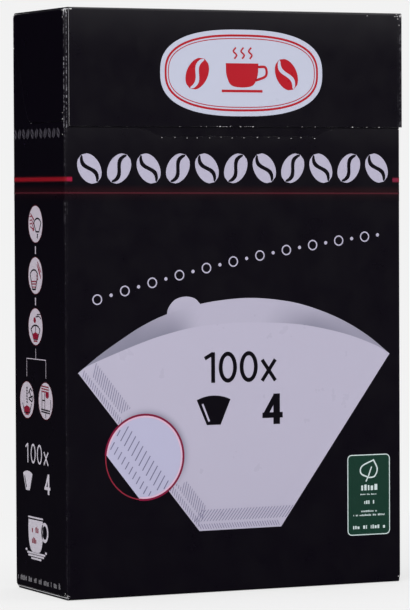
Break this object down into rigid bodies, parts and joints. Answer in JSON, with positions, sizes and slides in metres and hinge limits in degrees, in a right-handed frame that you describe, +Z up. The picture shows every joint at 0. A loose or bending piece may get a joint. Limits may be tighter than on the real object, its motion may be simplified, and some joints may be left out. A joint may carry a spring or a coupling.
{
  "type": "coffee filter carton",
  "caption": "Tall slim folding carton of printed paperboard with a perforated flip-up lid creased at the back, holding a pack of fan-shaped paper coffee filters on edge.",
  "frame": {"origin": "middle of the carton's footprint, on the surface that it stands on", "axes": "+X to the right of the printed front panel, +Y to the back panel, +Z up"},
  "size_m": [0.1321, 0.048, 0.206],
  "materials": {
    "printed_board": "gloss varnish over print",
    "filter_paper": "soft uncoated filter paper"
  },
  "bodies": {
    "carton": {"carton_body": "printed_board", "filter_stack": "filter_paper"},
    "lid": {"carton_lid": "printed_board"}
  },
  "joints": [
    {"name": "lid_hinge", "type": "hinge", "parent": "carton", "child": "lid", "pos_m": [0, 0.0239, 0.19332], "axis": [-1, 0, 0], "range_deg": [0, 170]}
  ]
}
